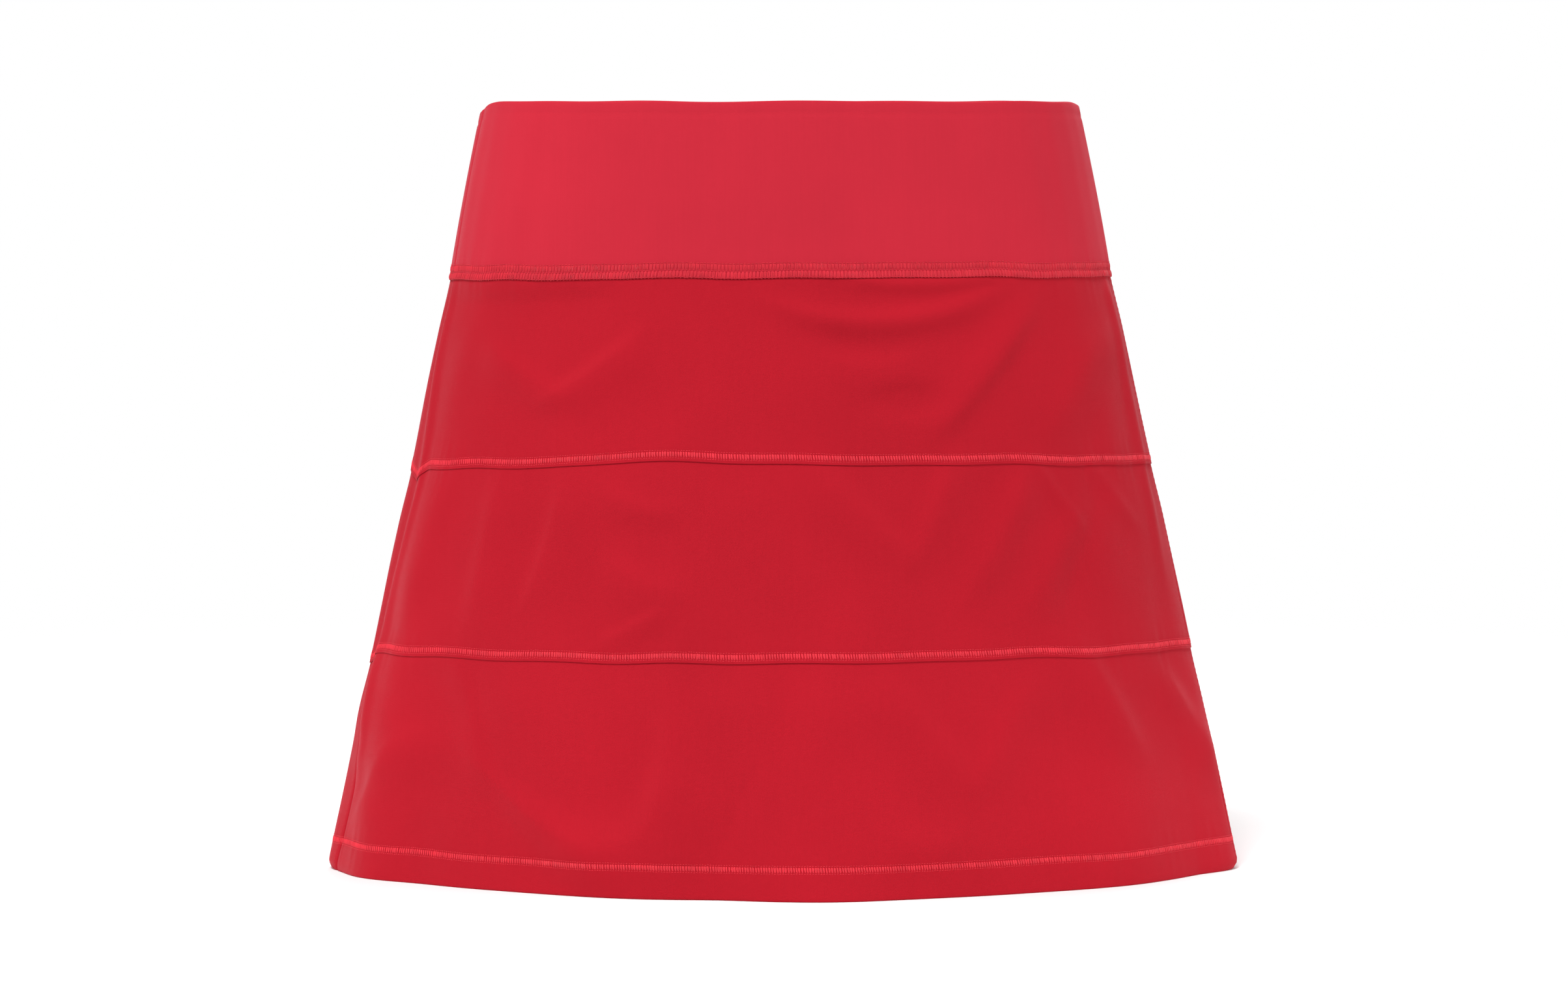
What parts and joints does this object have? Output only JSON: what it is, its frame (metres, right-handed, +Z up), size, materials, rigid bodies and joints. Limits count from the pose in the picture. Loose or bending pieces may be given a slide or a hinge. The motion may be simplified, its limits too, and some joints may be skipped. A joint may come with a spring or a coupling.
{
  "type": "sports skirt",
  "caption": "A-line stretch-knit sports skirt with a smooth double waistband, sewn tiers and a turned-up hem, open at waist and hem.",
  "frame": {"origin": "centre of the bounding box's base: on the ground, midway between the sides and between front and back", "axes": "+Z up from the hem to the waistband, the front faces -Y, +X to the right for someone who looks at the front; left and right in node names are that viewer's"},
  "size_m": [0.4144, 0.2457, 0.35],
  "materials": {
    "band_knit": "smooth matte double-layer stretch jersey, a lighter red than the tiers",
    "skirt_knit": "fine matte stretch knit, red, with a soft pale sheen at grazing angles",
    "seam_thread": "soft textured sewing thread, a lighter pinkish red than the cloth",
    "elastic_weave": "narrow braided elastic, off-white",
    "label_satin": "blank woven satin tape, off-white"
  },
  "bodies": {
    "root": {"waistband_front": "band_knit", "waistband_back": "band_knit", "waistband_lining_front": "band_knit", "waistband_lining_back": "band_knit", "upper_tier_front": "skirt_knit", "upper_tier_back": "skirt_knit", "middle_tier_front": "skirt_knit", "middle_tier_back": "skirt_knit", "lower_tier_front": "skirt_knit", "lower_tier_back": "skirt_knit", "waistband_elastic": "elastic_weave", "lining_seam_thread": "seam_thread", "waist_seam_thread": "seam_thread", "upper_seam_thread": "seam_thread", "lower_seam_thread": "seam_thread", "hem_stitch_thread": "seam_thread", "upper_tier_side_thread_right": "seam_thread", "upper_tier_side_thread_left": "seam_thread", "middle_tier_side_thread_right": "seam_thread", "middle_tier_side_thread_left": "seam_thread", "lower_tier_side_thread_right": "seam_thread", "lower_tier_side_thread_left": "seam_thread", "size_label": "label_satin", "care_label": "label_satin"}
  },
  "joints": []
}
